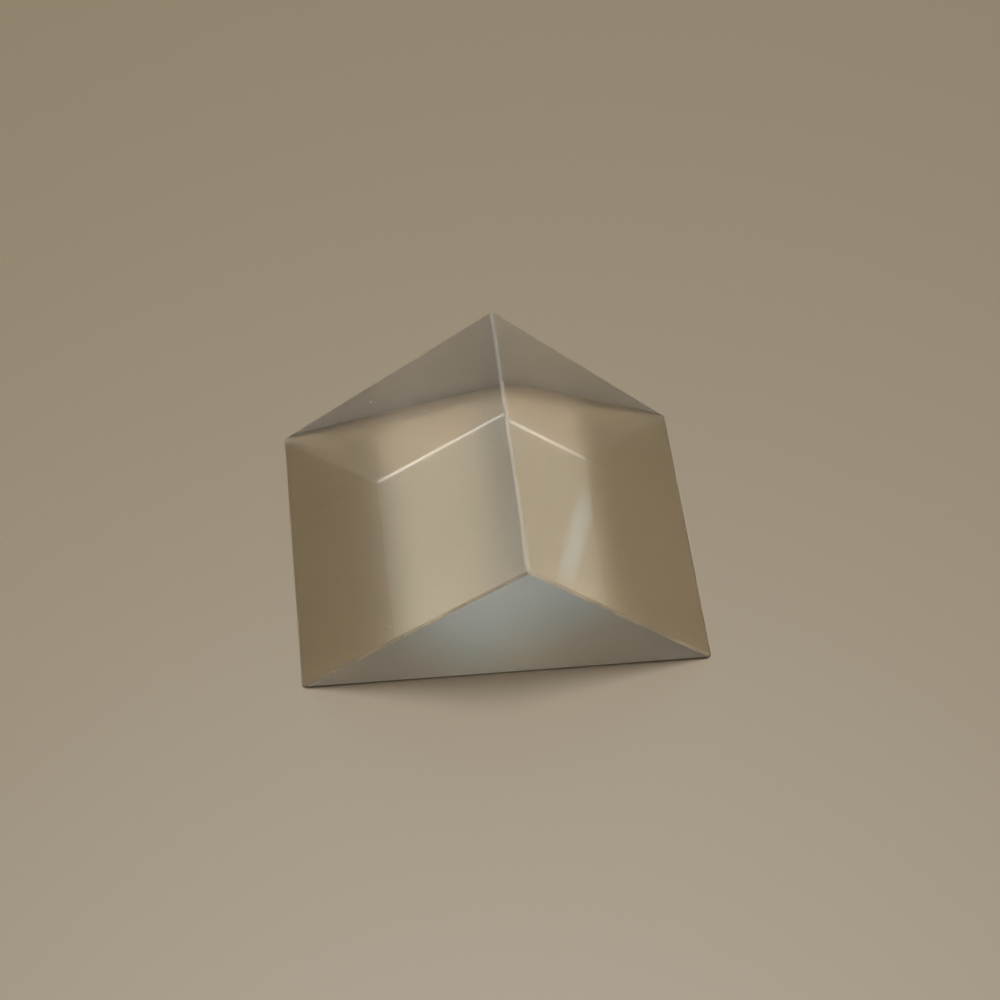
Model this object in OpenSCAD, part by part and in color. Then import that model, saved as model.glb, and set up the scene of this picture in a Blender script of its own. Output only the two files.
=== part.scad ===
// Right-angle prism of optical glass, worked from one block.
// Two polished leg faces meet at the ridge, and a polished hypotenuse face lies opposite it.
// The two triangular ends are finely ground, and so is a narrow bevel along every edge and
// across every corner, which keeps the thin glass there from chipping.
// The prism rests on its hypotenuse face: +Z is up, the ridge runs along Y, and the origin is
// the middle of the hypotenuse face.

/* [Glass block] */
// Width of each leg face, from the sharp ridge to the sharp base edge, in mm
leg_width = 25; // [10:0.5:50]
// Length of the ridge, from one ground end to the other, in mm
ridge_length = 25; // [8:0.5:60]
// Angle at the ridge, between the two leg faces, in degrees
ridge_angle = 90; // [60:1:110]

/* [Ground bevels] */
// Face width of the bevel along the ridge, in mm
ridge_bevel = 0.3; // [0.1:0.05:1]
// Face width of the bevels along the two base edges, in mm
base_bevel = 0.25; // [0.1:0.05:1]
// Face width of the bevels round each ground end, in mm
end_bevel = 0.3; // [0.1:0.05:1]
// Depth ground off each corner, past the point where its three bevels meet, in mm
corner_grind = 0.06; // [0.02:0.02:0.3]

/* [Hidden] */
glass_colour = [0.80, 0.86, 0.84, 0.5];

// Half the width of the hypotenuse face, and the height of the ridge above it
half_base = leg_width * sin(ridge_angle / 2);
height = leg_width * cos(ridge_angle / 2);
// Side of the block of waste that a cut takes away, which reaches past the whole prism
waste = 2 * norm([2 * half_base, ridge_length, height]);

// A plane is [unit normal that points out of the glass, distance from the origin].
leg_across = cos(ridge_angle / 2);
leg_up = sin(ridge_angle / 2);
left_leg = [[-leg_across, 0, leg_up], height * leg_up];
right_leg = [[leg_across, 0, leg_up], height * leg_up];
hypotenuse = [[0, 0, -1], 0];
front_end = [[0, -1, 0], ridge_length / 2];
back_end = [[0, 1, 0], ridge_length / 2];
ends = [front_end, back_end];

// The three long edges run between the two ends: [one face, the other face, bevel width].
long_edges = [
  [left_leg, right_leg, ridge_bevel],
  [left_leg, hypotenuse, base_bevel],
  [right_leg, hypotenuse, base_bevel],
];

function unit(v) = v / norm(v);

// Where three planes meet
function meeting(a, b, c) =
  (a[1] * cross(b[0], c[0]) + b[1] * cross(c[0], a[0]) + c[1] * cross(a[0], b[0]))
  / (a[0] * cross(b[0], c[0]));

// The plane of a bevel of the given face width, equally inclined to faces a and b
function bevel(a, b, width) =
  let (
    both = a[0] + b[0],
    half_angle = asin(norm(both) / 2),
    depth = width / 2 / tan(half_angle)
  ) [unit(both), (a[1] + b[1]) / norm(both) - depth];

// The plane of the small facet at the corner where a long edge runs into an end
function corner_facet(edge, end) =
  let (
    tip = meeting(
      bevel(edge[0], edge[1], edge[2]),
      bevel(edge[0], end, end_bevel),
      bevel(edge[1], end, end_bevel)
    ),
    outward = unit(edge[0][0] + edge[1][0] + end[0])
  ) [outward, outward * tip - corner_grind];

// The glass with every edge still sharp
module sharp_block() {
  rotate([90, 0, 0])
    linear_extrude(ridge_length, center = true)
      polygon([[-half_base, 0], [half_base, 0], [0, height]]);
}

// The waste on the outer side of a plane
module beyond(plane) {
  normal = plane[0];
  rotate([0, acos(normal.z), atan2(normal.y, normal.x)])
    translate([-waste / 2, -waste / 2, plane[1]])
      cube(waste);
}

module prism() {
  color(glass_colour)
    difference() {
      sharp_block();
      for (edge = long_edges)
        beyond(bevel(edge[0], edge[1], edge[2]));
      for (end = ends, face = [left_leg, right_leg, hypotenuse])
        beyond(bevel(face, end, end_bevel));
      for (end = ends, edge = long_edges)
        beyond(corner_facet(edge, end));
    }
}

prism();
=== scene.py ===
# %% [markdown]
# A right-angle prism of clear glass
#
# The object is one block of optical glass: two polished leg faces that meet in a ridge, a polished
# hypotenuse face that it lies on, two ground ends, and narrow ground bevels along the edges. All the rest
# that is seen in it, such as bright bands, white lines and a grey gable at the back, is light that the glass
# bends and mirrors. So the lesson is to get three things right: the planes, the finish of each plane, and
# the light.

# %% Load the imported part
import math
import random

import bpy
from mathutils import Matrix, Vector


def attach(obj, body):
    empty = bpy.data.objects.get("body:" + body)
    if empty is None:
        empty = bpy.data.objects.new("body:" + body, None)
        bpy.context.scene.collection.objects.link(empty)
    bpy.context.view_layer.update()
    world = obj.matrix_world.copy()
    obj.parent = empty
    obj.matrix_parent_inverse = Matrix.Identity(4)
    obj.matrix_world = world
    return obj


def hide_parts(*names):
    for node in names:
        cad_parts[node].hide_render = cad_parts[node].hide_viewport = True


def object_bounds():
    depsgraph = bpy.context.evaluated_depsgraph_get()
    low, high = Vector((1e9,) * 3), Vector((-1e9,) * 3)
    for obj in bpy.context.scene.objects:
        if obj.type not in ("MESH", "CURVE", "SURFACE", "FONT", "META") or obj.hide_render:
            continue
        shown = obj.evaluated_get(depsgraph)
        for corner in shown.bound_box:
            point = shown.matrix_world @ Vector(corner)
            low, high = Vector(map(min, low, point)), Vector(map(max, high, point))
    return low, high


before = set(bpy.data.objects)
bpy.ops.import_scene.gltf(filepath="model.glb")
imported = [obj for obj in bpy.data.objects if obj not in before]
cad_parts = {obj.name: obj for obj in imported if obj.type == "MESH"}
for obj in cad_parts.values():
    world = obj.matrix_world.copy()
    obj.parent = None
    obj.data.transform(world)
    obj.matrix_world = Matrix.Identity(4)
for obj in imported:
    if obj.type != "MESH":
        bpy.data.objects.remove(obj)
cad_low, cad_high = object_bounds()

MM = 0.001
scene = bpy.context.scene
cad_points = [vertex.co.copy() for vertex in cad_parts["prism"].data.vertices]
print("CAD box in mm:", [round(side / MM, 2) for side in cad_high - cad_low])

# %% [markdown]
# The camera
#
# The camera comes first, because glass looks different from every place. It looks down on the ridge from
# the front and a little from the left, close by, with a slight roll. A camera could be placed by eye, but a
# prism has six sharp corners, and those fix the place, the roll and the lens together.

# %% Place the camera
VIEW_AZIMUTH = math.radians(-14.35)
VIEW_ELEVATION = math.radians(58.54)
VIEW_ROLL = math.radians(8.77)
VIEW_DISTANCE = 157.0 * MM
VIEW_TARGET = Vector((0.27, 0.9, 6.15)) * MM
LENS_MM = 66.15
SENSOR_MM = 36
NEAREST_SEEN = 1 * MM
FARTHEST_SEEN = 20.0

backwards = Vector((
    math.sin(VIEW_AZIMUTH) * math.cos(VIEW_ELEVATION),
    -math.cos(VIEW_AZIMUTH) * math.cos(VIEW_ELEVATION),
    math.sin(VIEW_ELEVATION),
))
bpy.ops.object.select_all(action="DESELECT")
bpy.ops.object.camera_add(location=VIEW_TARGET + backwards * VIEW_DISTANCE)
camera = bpy.context.object
camera.name = "camera"
camera.rotation_mode = "QUATERNION"
upright = (-backwards).to_track_quat("-Z", "Y")
camera.rotation_quaternion = upright @ Matrix.Rotation(VIEW_ROLL, 3, "Z").to_quaternion()
camera.data.lens = LENS_MM
camera.data.sensor_width = SENSOR_MM
camera.data.clip_start = NEAREST_SEEN
camera.data.clip_end = FARTHEST_SEEN
scene.camera = camera
print("camera height above the floor, mm:", round(camera.location.z / MM, 1))

# %% [markdown]
# The glass block
#
# The real prism is sawn from a block and ground flat on one plane after another, so the mesh is made the
# same way: a cube of the right size, and one bisect for each plane. Every plane takes its place from the
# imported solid, by how far that solid reaches along the plane's normal. An extruded triangle would give the
# same sides, but then the bevels would need another method, and here they are just more planes.

# %% Cut the five main faces
LEFT_LEG = Vector((-1, 0, 1)).normalized()
RIGHT_LEG = Vector((1, 0, 1)).normalized()
HYPOTENUSE = Vector((0, 0, -1))
FRONT_END = Vector((0, -1, 0))
BACK_END = Vector((0, 1, 0))
MAIN_FACES = (LEFT_LEG, RIGHT_LEG, HYPOTENUSE, FRONT_END, BACK_END)
SAW_ALLOWANCE = Vector((2, 2, 2)) * MM
WELD = 0.0005 * MM


def reach(direction):
    """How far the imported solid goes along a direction, from the origin."""
    return max(point.dot(direction) for point in cad_points)


def grind_flat(place, normal):
    """Takes off all glass beyond the plane through a place and closes the cut."""
    bpy.ops.mesh.select_all(action="SELECT")
    bpy.ops.mesh.bisect(plane_co=place, plane_no=normal, use_fill=True, clear_outer=True, threshold=WELD)


bpy.ops.object.select_all(action="DESELECT")
bpy.ops.mesh.primitive_cube_add(
    size=1,
    location=(cad_low + cad_high) / 2,
    scale=cad_high - cad_low + 2 * SAW_ALLOWANCE,
)
glass = bpy.context.object
glass.name = glass.data.name = "prism_glass"
bpy.ops.object.transform_apply(location=True, rotation=True, scale=True)
bpy.ops.object.mode_set(mode="EDIT")
for face in MAIN_FACES:
    grind_flat(face * reach(face), face)
bpy.ops.object.mode_set(mode="OBJECT")
print("faces of the sawn block:", len(glass.data.polygons))

# %% [markdown]
# The ground bevels
#
# A sharp glass edge chips at the first touch, so the maker grinds the edges to bevels about 0.3 mm wide, and
# each of the six corners to a small facet. A bevel operator could do it, but it mitres the corners, and real
# bevels are ground one by one. A hand holds the glass, so no bevel is quite even: each plane is rocked a
# little about its middle, and two of them went deeper than the rest. The edge at the foot of the back end
# was touched only near its two ends, so that the hypotenuse meets that end almost sharply.

# %% Grind the bevels and corners
ROCK = math.radians(0.07)
DEEPER = 0.07 * MM
CORNER_WEAR = 0.015 * MM
# Each stroke on the back foot has the place along the edge where it starts, and its slope
FOOT_STROKES = [(-5 * MM, math.radians(-0.45)), (8 * MM, math.radians(0.4))]
hand = random.Random(4)


def between(*directions):
    """The direction that leans equally to some others."""
    return sum(directions, Vector()).normalized()


LONG_EDGES = [(LEFT_LEG, RIGHT_LEG), (LEFT_LEG, HYPOTENUSE), (RIGHT_LEG, HYPOTENUSE)]
END_EDGES = [(face, end) for end in (FRONT_END, BACK_END) for face in (LEFT_LEG, RIGHT_LEG, HYPOTENUSE)]
CORNERS = [(*edge, end) for edge in LONG_EDGES for end in (FRONT_END, BACK_END)]
FRONT_FOOT = (HYPOTENUSE, FRONT_END)
BACK_FOOT = (HYPOTENUSE, BACK_END)
DEEP_EDGES = [(LEFT_LEG, BACK_END), FRONT_FOOT]


def facet_middle(normal):
    """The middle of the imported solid's facet that faces along a normal."""
    level = reach(normal)
    on_facet = [point for point in cad_points if level - point.dot(normal) < WELD]
    return sum(on_facet, Vector()) / len(on_facet)


bpy.ops.object.mode_set(mode="EDIT")
for edge in LONG_EDGES + END_EDGES:
    bevel = between(*edge)
    across = bevel.cross(edge[0].cross(edge[1])).normalized()
    tilt = Matrix.Rotation(hand.uniform(-ROCK, ROCK), 3, across)
    if edge == BACK_FOOT:
        for start, slope in FOOT_STROKES:
            grind_flat(Vector((start, cad_high.y, 0)), Matrix.Rotation(slope, 3, across) @ bevel)
    else:
        deeper = DEEPER if edge in DEEP_EDGES else 0
        grind_flat(facet_middle(bevel) - bevel * deeper, tilt @ bevel)
for corner in CORNERS:
    facet = between(*corner)
    grind_flat(facet_middle(facet) - facet * hand.uniform(0, CORNER_WEAR), facet)
bpy.ops.mesh.select_all(action="SELECT")
bpy.ops.mesh.normals_make_consistent(inside=False)
bpy.ops.object.mode_set(mode="OBJECT")
print("faces of the bevelled prism:", len(glass.data.polygons))

# %% [markdown]
# Small chips along the edges
#
# A prism that has been set down, wiped and put away many times loses tiny shells of glass, even from a
# bevelled edge. Here the three long edges and the two at the top of the front end have them. Each chip is a
# small lump that a Boolean takes out of the edge. All lumps are added to one mesh, so that a single Boolean
# does them all, and they are seeded, so that every run gives the same glass.

# %% Shape the lumps
CHIPPED_EDGES = LONG_EDGES + [(LEFT_LEG, FRONT_END), (RIGHT_LEG, FRONT_END)]
CHIPS_PER_EDGE = 5
CHIP_RADIUS = (0.02 * MM, 0.05 * MM)
CHIP_FLATNESS = (0.5, 1.0)
CHIP_SINK = (0.15, 0.45)
EDGE_SHARE = 0.94
chipping = random.Random(11)


def edge_ends(edge):
    """The two ends of an edge's bevel, along the edge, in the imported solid."""
    bevel = between(*edge)
    along = edge[0].cross(edge[1]).normalized()
    level = reach(bevel)
    marks = [point.dot(along) for point in cad_points if level - point.dot(bevel) < WELD]
    middle = facet_middle(bevel)
    start = middle + along * (min(marks) - middle.dot(along))
    stop = middle + along * (max(marks) - middle.dot(along))
    return start, stop


bpy.ops.object.select_all(action="DESELECT")
bpy.ops.mesh.primitive_ico_sphere_add(radius=MM)
chips = bpy.context.object
chips.name = "chip_cutter"
bpy.ops.object.mode_set(mode="EDIT")
bpy.ops.mesh.select_all(action="SELECT")
bpy.ops.mesh.delete(type="VERT")
for edge in CHIPPED_EDGES:
    bevel = between(*edge)
    start, stop = edge_ends(edge)
    sideways = bevel.cross(stop - start).normalized()
    for chip in range(CHIPS_PER_EDGE):
        radius = chipping.uniform(*CHIP_RADIUS)
        place = start.lerp(stop, 0.5 + EDGE_SHARE * (chipping.random() - 0.5))
        place += sideways * chipping.choice((-1, 1)) * radius
        place += bevel * radius * (1 - chipping.uniform(*CHIP_SINK))
        turn = [chipping.uniform(0, math.tau) for axis in range(3)]
        shape = [chipping.uniform(*CHIP_FLATNESS) for axis in range(3)]
        bpy.ops.mesh.primitive_ico_sphere_add(
            subdivisions=2, radius=radius, location=place, rotation=turn, scale=shape
        )
bpy.ops.object.mode_set(mode="OBJECT")
print("lumps to take out:", CHIPS_PER_EDGE * len(CHIPPED_EDGES))

# %% Take the lumps out
bpy.ops.object.select_all(action="DESELECT")
glass.select_set(True)
bpy.context.view_layer.objects.active = glass
chipped = glass.modifiers.new("chips", "BOOLEAN")
chipped.operation = "DIFFERENCE"
chipped.solver = "EXACT"
chipped.use_self = True
chipped.object = chips
bpy.ops.object.modifier_apply(modifier=chipped.name)
bpy.data.objects.remove(chips)
print("faces of the chipped prism:", len(glass.data.polygons))

# %% [markdown]
# Nodes that all finishes share
#
# Every finish is a Principled shader with full transmission and the refractive index of crown glass: what
# differs is how rough it is, and where. The patterns read Object coordinates, turned into millimetres, so
# that a size in the script is the size on the glass. A few small helpers keep the node trees short.

# %% Make the helpers for finishes
CROWN_GLASS_IOR = 1.517
GLASS_TINT = (0.992, 0.994, 0.99, 1)


def new_finish(name):
    """A new clear glass, as (material, nodes, links, shader)."""
    material = bpy.data.materials.new(name)
    material.use_nodes = True
    nodes, links = material.node_tree.nodes, material.node_tree.links
    shader = nodes["Principled BSDF"]
    shader.inputs["Base Color"].default_value = GLASS_TINT
    shader.inputs["IOR"].default_value = CROWN_GLASS_IOR
    shader.inputs["Transmission Weight"].default_value = 1.0
    return material, nodes, links, shader


def millimetres(nodes, links, stretch=(1, 1, 1), turn=(0, 0, 0)):
    """Object coordinates in millimetres; a pattern is drawn out along an axis where stretch is over 1."""
    place = nodes.new("ShaderNodeTexCoord")
    mapping = nodes.new("ShaderNodeMapping")
    mapping.inputs["Rotation"].default_value = turn
    mapping.inputs["Scale"].default_value = [1 / MM / longer for longer in stretch]
    links.new(place.outputs["Object"], mapping.inputs["Vector"])
    return mapping.outputs["Vector"]


def clouds(nodes, links, where, size, detail=2.0):
    """Soft noise from 0 to 1, with blobs of about a size in millimetres."""
    noise = nodes.new("ShaderNodeTexNoise")
    noise.inputs["Scale"].default_value = 1 / size
    noise.inputs["Detail"].default_value = detail
    links.new(where, noise.inputs["Vector"])
    return noise.outputs["Fac"]


def remap(nodes, links, value, start, stop, low, high):
    """A value between start and stop, carried over smoothly to low and high."""
    ramp = nodes.new("ShaderNodeMapRange")
    ramp.interpolation_type = "SMOOTHSTEP"
    for socket, number in (("From Min", start), ("From Max", stop), ("To Min", low), ("To Max", high)):
        ramp.inputs[socket].default_value = number
    links.new(value, ramp.inputs["Value"])
    return ramp.outputs["Result"]


def combine(nodes, links, operation, first, second):
    """Two values through a Math node."""
    math_node = nodes.new("ShaderNodeMath")
    math_node.operation = operation
    links.new(first, math_node.inputs[0])
    links.new(second, math_node.inputs[1])
    return math_node.outputs["Value"]


print("refractive index of the glass:", CROWN_GLASS_IOR)

# %% [markdown]
# The polished faces
#
# The two legs and the hypotenuse are polished until they are as clear as water. Perfect polish looks unreal
# close by, so there are three kinds of trace on it: a faint haze where a cloth has wiped it, hairline
# scratches along the same wipes, and a few specks of dust. All of them are places where the roughness rises
# from zero.

# %% Mix the polished glass
WIPE_SIZE = 5.0
WIPE_STRETCH = (3, 1, 1)
WIPE_TURN = (0, 0, math.radians(24))
HAZE_COMES_IN = (0.5, 0.75)
HAZE_ROUGHNESS = 0.035
SCRATCH_SIZE = 0.06
SCRATCH_STRETCH = (120, 1, 1)
SCRATCH_COMES_IN = (0.8, 0.84)
SCRATCH_ROUGHNESS = 0.1
DUST_SPACING = 1.6
DUST_RADIUS = 0.035
DUST_CORE = 0.6
DUST_ROUGHNESS = 0.5

polished, nodes, links, shader = new_finish("polished_glass")
wipes = clouds(nodes, links, millimetres(nodes, links, WIPE_STRETCH, WIPE_TURN), WIPE_SIZE)
haze = remap(nodes, links, wipes, *HAZE_COMES_IN, 0.0, HAZE_ROUGHNESS)
along_wipe = millimetres(nodes, links, SCRATCH_STRETCH, WIPE_TURN)
hairs = clouds(nodes, links, along_wipe, SCRATCH_SIZE, detail=0)
scratches = remap(nodes, links, hairs, *SCRATCH_COMES_IN, 0.0, SCRATCH_ROUGHNESS)
dust = nodes.new("ShaderNodeTexVoronoi")
dust.inputs["Scale"].default_value = 1 / DUST_SPACING
links.new(millimetres(nodes, links), dust.inputs["Vector"])
speck_edge = DUST_RADIUS / DUST_SPACING
speck_core = DUST_CORE * speck_edge
specks = remap(nodes, links, dust.outputs["Distance"], speck_edge, speck_core, 0.0, DUST_ROUGHNESS)
wear = combine(nodes, links, "MAXIMUM", haze, scratches)
links.new(combine(nodes, links, "MAXIMUM", wear, specks), shader.inputs["Roughness"])
print("haze, scratches and dust are as rough as:", HAZE_ROUGHNESS, SCRATCH_ROUGHNESS, DUST_ROUGHNESS)

# %% [markdown]
# The ground ends
#
# No light has to pass the triangular ends, so they stay as the grinding left them: an even grey matt. Glass
# like that is rough in itself, so the shader's roughness does most of it. Noise moves the roughness a
# little, as where fingers have held it, and a fine bump gives the grain that is seen close by. A grey tint
# on both ends is painted shade that dims them, the back one more. The back one is ground more coarsely.

# %% Mix the ground ends
PATCHES_COME_IN = (0.3, 0.7)
GRIND_PATCHES = 7.0
GRIND_GRAIN = 0.05
GRIND_DEPTH = 0.002
FRONT_GRIND = (0.52, 0.6)
# painted shade: a grey Base Color that dims the front end
FRONT_END_PAINTED_SHADE = (0.85, 0.845, 0.835, 1)
BACK_GRIND = (0.58, 0.66)
# painted shade: a darker grey Base Color that dims the back end more than the front
BACK_END_PAINTED_SHADE = (0.75, 0.74, 0.725, 1)


def ground_glass(name, patch_size, finest, coarsest):
    """A new glass whose roughness wanders between two values, as (material, nodes, links, shader)."""
    material, nodes, links, shader = new_finish(name)
    patches = clouds(nodes, links, millimetres(nodes, links), patch_size)
    roughness = remap(nodes, links, patches, *PATCHES_COME_IN, finest, coarsest)
    links.new(roughness, shader.inputs["Roughness"])
    return material, nodes, links, shader


def ground_end(name, painted_shade, finest, coarsest):
    """Matt glass with a fine grain, dimmed by a grey Base Color that is painted shade."""
    material, nodes, links, shader = ground_glass(name, GRIND_PATCHES, finest, coarsest)
    # the Base Color here is painted shade, which dims the end
    shader.inputs["Base Color"].default_value = painted_shade
    grain = nodes.new("ShaderNodeBump")
    grain.inputs["Distance"].default_value = GRIND_DEPTH * MM
    links.new(clouds(nodes, links, millimetres(nodes, links), GRIND_GRAIN), grain.inputs["Height"])
    links.new(grain.outputs["Normal"], shader.inputs["Normal"])
    return material


front_ground = ground_end("front_end_glass", FRONT_END_PAINTED_SHADE, *FRONT_GRIND)
back_ground = ground_end("back_end_glass", BACK_END_PAINTED_SHADE, *BACK_GRIND)
print("roughness of the front and back ends:", FRONT_GRIND, BACK_GRIND)

# %% [markdown]
# The bevels and chips
#
# The bevels are ground finer than the ends, each a little differently, as hand work is. The two at the top
# of the back end are the coarse ones: the white lines in the glass are these two, mirrored in the
# hypotenuse, with the lamp behind them, and how coarse they are sets how bright the lines are. The one at
# the foot of the front end is almost worn smooth, and shows as a dark line. The ridge and the edges at the
# front are the ones that get touched and knocked, so they are scuffed: a share of the light that meets them
# is scattered back, which makes them pale. A chip is a fresh break, and breaks are glossy.

# %% Mix the bevels and the chips
BEVEL_PATCHES = 3.0
FINE_GRIND = (0.31, 0.34)
COARSE_GRIND = (0.56, 0.6)
WORN_GRIND = (0.1, 0.14)
SCUFFED_GRIND = (0.2, 0.25)
SCUFFED_PASSES = 0.92
CHIP_ROUGHNESS = 0.06


def ground_bevel(name, finest, coarsest, passes=1.0):
    """Ground glass for an edge. The light that it doesn't pass is scattered back."""
    material, nodes, links, shader = ground_glass(name, BEVEL_PATCHES, finest, coarsest)
    shader.inputs["Transmission Weight"].default_value = passes
    return material


fine_bevel = ground_bevel("fine_bevel_glass", *FINE_GRIND)
coarse_bevel = ground_bevel("coarse_bevel_glass", *COARSE_GRIND)
foot_bevel = ground_bevel("foot_bevel_glass", *WORN_GRIND)
scuffed_bevel = ground_bevel("scuffed_bevel_glass", *SCUFFED_GRIND, passes=SCUFFED_PASSES)
chip_glass, nodes, links, shader = new_finish("chipped_glass")
shader.inputs["Roughness"].default_value = CHIP_ROUGHNESS
print("roughness of the bevels:", FINE_GRIND, COARSE_GRIND, WORN_GRIND, SCUFFED_GRIND)

# %% [markdown]
# A finish for each face
#
# Someone who paints a mesh by hand would select its faces one by one. Here each face is known by the way it
# points: the list goes from the broad faces to the special edges, and the last finish that fits is the one
# that stays. A face that points in none of these ways is the inside of a chip.

# %% Give each face its finish
SCUFFED_EDGES = [(LEFT_LEG, RIGHT_LEG), (LEFT_LEG, FRONT_END), (RIGHT_LEG, FRONT_END)]
COARSE_EDGES = [(LEFT_LEG, BACK_END), (RIGHT_LEG, BACK_END)]
SAME_WAY = 0.99999
FINISHES = [
    (polished, [LEFT_LEG, RIGHT_LEG, HYPOTENUSE]),
    (front_ground, [FRONT_END]),
    (back_ground, [BACK_END]),
    (fine_bevel, [between(*edge) for edge in LONG_EDGES + END_EDGES]),
    (coarse_bevel, [between(*edge) for edge in COARSE_EDGES]),
    (foot_bevel, [between(*FRONT_FOOT)]),
    (scuffed_bevel, [between(*edge) for edge in SCUFFED_EDGES + CORNERS]),
]
for finish, normals in FINISHES:
    glass.data.materials.append(finish)
glass.data.materials.append(chip_glass)

for face in glass.data.polygons:
    face.material_index = len(FINISHES)
    for index, (finish, normals) in enumerate(FINISHES):
        if any(face.normal.dot(normal) > SAME_WAY for normal in normals):
            face.material_index = index
    face.use_smooth = face.material_index == len(FINISHES)
for index, finish in enumerate(glass.data.materials):
    covered = sum(face.material_index == index for face in glass.data.polygons)
    print(finish.name, "covers", covered, "faces")

# %% [markdown]
# The floor
#
# The prism lies on a plain floor of pale brown, which bends up into a low wall two metres away, so that
# there is a plain background on every side. The floor has a soft sheen, as smooth card has. Where the glass
# bends the light away, the sheen is lost and the floor's own brown shows deeper. A hair of air stays between
# floor and glass: the hypotenuse only mirrors where glass meets air.

# %% Lay the floor
AIR_GAP = 0.05 * MM
FLOOR_RADIUS = 1.7
FLOOR_SIDES = 96
BEND_RADIUS = 0.3
BEND_STEPS = 12

bpy.ops.object.select_all(action="DESELECT")
bpy.ops.mesh.primitive_circle_add(
    vertices=FLOOR_SIDES, radius=FLOOR_RADIUS, fill_type="NGON", location=(0, 0, -AIR_GAP)
)
floor = bpy.context.object
floor.name = "floor"
bpy.ops.object.mode_set(mode="EDIT")
bpy.ops.mesh.select_mode(type="EDGE")
bpy.ops.mesh.select_all(action="SELECT")
bpy.ops.mesh.region_to_loop()
radius, height = FLOOR_RADIUS, 0.0
for step in range(1, BEND_STEPS + 1):
    turn = math.pi / 2 * step / BEND_STEPS
    wider = FLOOR_RADIUS + BEND_RADIUS * math.sin(turn)
    higher = BEND_RADIUS * (1 - math.cos(turn))
    bpy.ops.mesh.extrude_edges_move(TRANSFORM_OT_translate={"value": (0, 0, higher - height)})
    bpy.ops.transform.resize(value=(wider / radius, wider / radius, 1), center_override=(0, 0, 0))
    radius, height = wider, higher
bpy.ops.object.mode_set(mode="OBJECT")
bpy.ops.object.shade_smooth()
print("floor, m across and high:", [round(side, 2) for side in floor.dimensions])

# %% Finish the floor
FLOOR_COLOUR = (0.22, 0.153, 0.073, 1)
FLOOR_ROUGHNESS = 0.56
FLOOR_IOR = 1.97

floor_finish = bpy.data.materials.new("pale_floor")
floor_finish.use_nodes = True
floor_shader = floor_finish.node_tree.nodes["Principled BSDF"]
floor_shader.inputs["Base Color"].default_value = FLOOR_COLOUR
floor_shader.inputs["Roughness"].default_value = FLOOR_ROUGHNESS
floor_shader.inputs["IOR"].default_value = FLOOR_IOR
floor.data.materials.append(floor_finish)
print("finish of the floor:", floor_finish.name)

# %% [markdown]
# The light
#
# One oval softbox hangs almost overhead, wide across the ridge and narrow along it. Each leg bends its light
# inwards, so a band under the ridge is lit through both legs and shows bright, with soft borders, and the
# rest is lit once and shows darker. A round lamp would give the same bands, but it would whiten the front
# end too.

# %% Hang the softbox
LAMP_DISTANCE = 3.0
KEY_TOWARDS = (4.5, 3)
KEY_ACROSS = (28, 20)
KEY_RADIANCE = 21.0
KEY_COLOUR = (1, 0.99, 0.975)


def towards(leans_right, leans_back):
    """The direction that leans from straight up by two angles in degrees."""
    right, back = math.tan(math.radians(leans_right)), math.tan(math.radians(leans_back))
    return Vector((right, back, 1)).normalized()


direction = towards(*KEY_TOWARDS)
sideways = Vector((0, 1, 0)).cross(direction).normalized()
axes = Matrix((sideways, direction.cross(sideways), direction)).transposed()
wide, deep = [2 * LAMP_DISTANCE * math.tan(math.radians(angle) / 2) for angle in KEY_ACROSS]
bpy.ops.object.select_all(action="DESELECT")
bpy.ops.object.light_add(type="AREA", location=direction * LAMP_DISTANCE)
lamp = bpy.context.object
lamp.name = "key_softbox"
lamp.data.shape = "ELLIPSE"
lamp.data.size = wide
lamp.data.size_y = deep
lamp.data.energy = math.pi * (math.pi / 4 * wide * deep) * KEY_RADIANCE
lamp.data.color = KEY_COLOUR
lamp.rotation_mode = "QUATERNION"
lamp.rotation_quaternion = axes.to_quaternion()
lamp.visible_camera = False
print(lamp.name, "gives", round(lamp.data.energy, 1), "W")

# %% [markdown]
# The studio
#
# Glass shows whatever stands round it, and seen from the sides this prism shows little else. So the world is
# a plain studio: walls that fade upwards into a darker ceiling, a little higher on the right, and a soft,
# cool glow high up behind, which gives the front end its bluish light. In the glow stands a narrow window,
# which the hypotenuse mirrors as a pale streak on the right. More lamps could make both, but their hard
# outlines would show in the glass. No image is needed: three blends by direction make it all.

# %% Make the helpers for the studio
world = bpy.data.worlds.new("studio")
scene.world = world
world.use_nodes = True
nodes, links = world.node_tree.nodes, world.node_tree.links
outwards = nodes.new("ShaderNodeTexCoord")


def blend(share, first, second):
    """A colour between two others, of which the first may come from another blend."""
    mix = nodes.new("ShaderNodeMix")
    mix.data_type = "RGBA"
    links.new(share, mix.inputs["Factor"])
    if isinstance(first, tuple):
        mix.inputs["A"].default_value = first
    else:
        links.new(first, mix.inputs["A"])
    mix.inputs["B"].default_value = second
    return mix.outputs["Result"]


def cosine(direction):
    """The cosine between the view and a direction."""
    dot = nodes.new("ShaderNodeVectorMath")
    dot.operation = "DOT_PRODUCT"
    dot.inputs[1].default_value = direction
    links.new(outwards.outputs["Generated"], dot.inputs[0])
    return dot.outputs["Value"]


def leaning(direction, start, stop):
    """How far the view leans towards a direction, from 0 at start to 1 at stop, both as cosines."""
    return remap(nodes, links, cosine(direction), start, stop, 0.0, 1.0)


print("the world is called", world.name)

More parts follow.
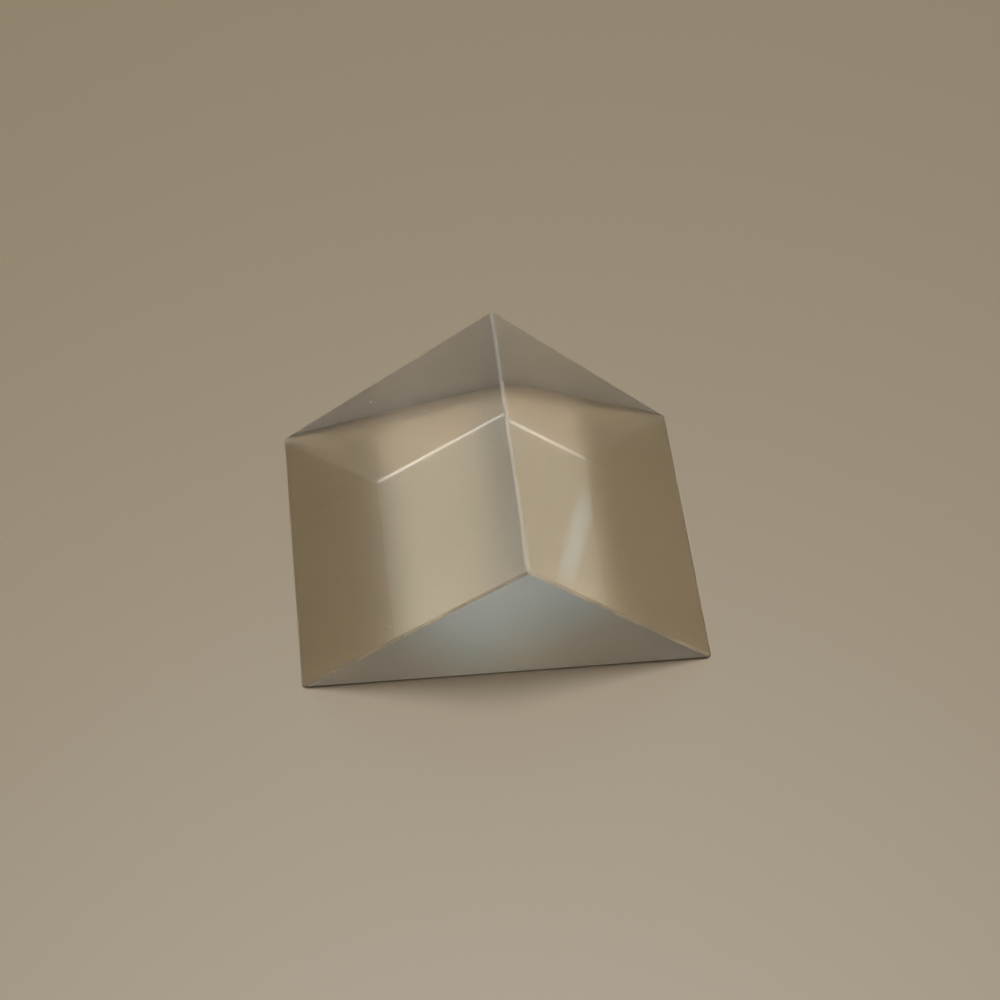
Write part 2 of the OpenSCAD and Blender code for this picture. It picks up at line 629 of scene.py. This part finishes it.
# %% Light the studio
CEILING = (0.05, 0.05, 0.05, 1)
WALLS = (0.14, 0.125, 0.1, 1)
UPWARDS = Vector((-0.1, 0, 1)).normalized()
FADE_STARTS = math.sin(math.radians(8))
FADE_STOPS = math.sin(math.radians(42))
GLOW = (0.38, 0.53, 0.55, 1)
GLOW_TOWARDS = towards(11, 39)
GLOW_ENDS = math.cos(math.radians(40))
GLOW_FULL = math.cos(math.radians(12))
WINDOW = (1.45, 2.3, 2.75, 1)
WINDOW_TOP = towards(11.6, 30.3)
WINDOW_FOOT = towards(10.67, 28.33)
WINDOW_HALF_WIDTH = math.sin(math.radians(0.41))
WINDOW_ENDS = math.cos(math.radians(1.9))
WINDOW_FULL = math.cos(math.radians(0.2))

studio = blend(leaning(UPWARDS, FADE_STARTS, FADE_STOPS), WALLS, CEILING)
studio = blend(leaning(GLOW_TOWARDS, GLOW_ENDS, GLOW_FULL), studio, GLOW)
beside = cosine(WINDOW_TOP.cross(WINDOW_FOOT).normalized())
beside_squared = combine(nodes, links, "MULTIPLY", beside, beside)
in_width = remap(nodes, links, beside_squared, WINDOW_HALF_WIDTH ** 2, 0.0, 0.0, 1.0)
in_length = leaning(between(WINDOW_TOP, WINDOW_FOOT), WINDOW_ENDS, WINDOW_FULL)
studio = blend(combine(nodes, links, "MULTIPLY", in_width, in_length), studio, WINDOW)
links.new(studio, nodes["Background"].inputs["Color"])
print("nodes in the studio:", len(nodes))

# %% [markdown]
# How the picture is worked out
#
# The Standard view shows a colour as it is written. Two short cuts of the renderer are switched off, because
# thin bright lines would get lost in them: one blurs what is mirrored, and the other dims strong light that
# has come by way of glass.

# %% Set the picture
scene.view_settings.view_transform = "Standard"
scene.cycles.blur_glossy = 0.0
scene.cycles.sample_clamp_indirect = 0.0
print("view:", scene.view_settings.view_transform)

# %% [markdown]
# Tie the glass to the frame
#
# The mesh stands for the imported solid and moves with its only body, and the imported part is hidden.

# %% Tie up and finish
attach(glass, "root")
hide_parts("prism")
